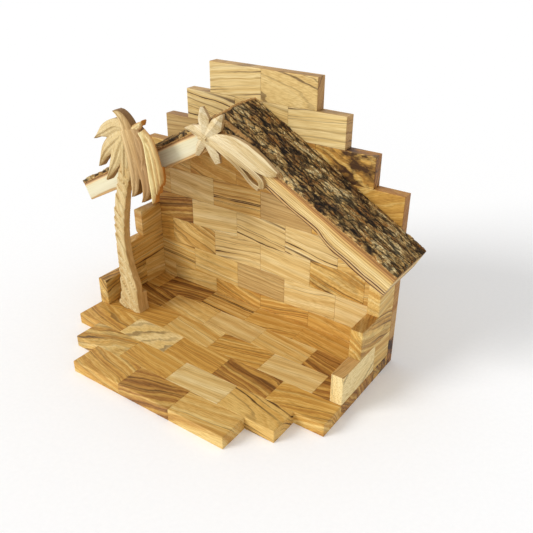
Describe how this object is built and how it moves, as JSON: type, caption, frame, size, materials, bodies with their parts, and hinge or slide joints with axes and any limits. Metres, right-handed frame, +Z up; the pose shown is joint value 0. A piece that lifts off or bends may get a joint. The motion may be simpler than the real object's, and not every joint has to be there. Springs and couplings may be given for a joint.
{
  "type": "wooden nativity stable",
  "caption": "Wooden nativity stable of glued bricks: stepped base, stepped gable wall, low side walls, bark-topped pitched roof, comet star and palm tree.",
  "frame": {"origin": "middle of the part's box seen from above, on the table plane under the base", "axes": "+X to the right seen from the front, -Y towards the open front, +Z up"},
  "size_m": [0.2414, 0.127, 0.1746],
  "materials": {
    "brick_wood": "sanded and lightly oiled olive wood",
    "slab_wood": "sawn and sanded olive sapwood",
    "bark": "rough dry bark",
    "carved_wood": "knife-carved bare wood"
  },
  "bodies": {
    "root": {"base_row_1": "brick_wood", "base_row_2": "brick_wood", "base_row_3": "brick_wood", "base_row_4": "brick_wood", "base_row_5": "brick_wood", "base_row_6": "brick_wood", "back_course_1": "brick_wood", "back_course_2": "brick_wood", "back_course_3": "brick_wood", "back_course_4": "brick_wood", "back_course_5": "brick_wood", "back_course_6": "brick_wood", "back_course_7": "brick_wood", "back_course_8": "brick_wood", "back_course_9": "brick_wood", "left_wall_course_1": "brick_wood", "left_wall_course_2": "brick_wood", "left_wall_course_3": "brick_wood", "right_wall_course_1": "brick_wood", "right_wall_course_2": "brick_wood", "right_wall_course_3": "brick_wood", "roof_slab_left": "slab_wood", "roof_bark_left": "bark", "roof_slab_right": "slab_wood", "roof_bark_right": "bark", "comet_star": "carved_wood", "palm_tree": "carved_wood"}
  },
  "joints": []
}
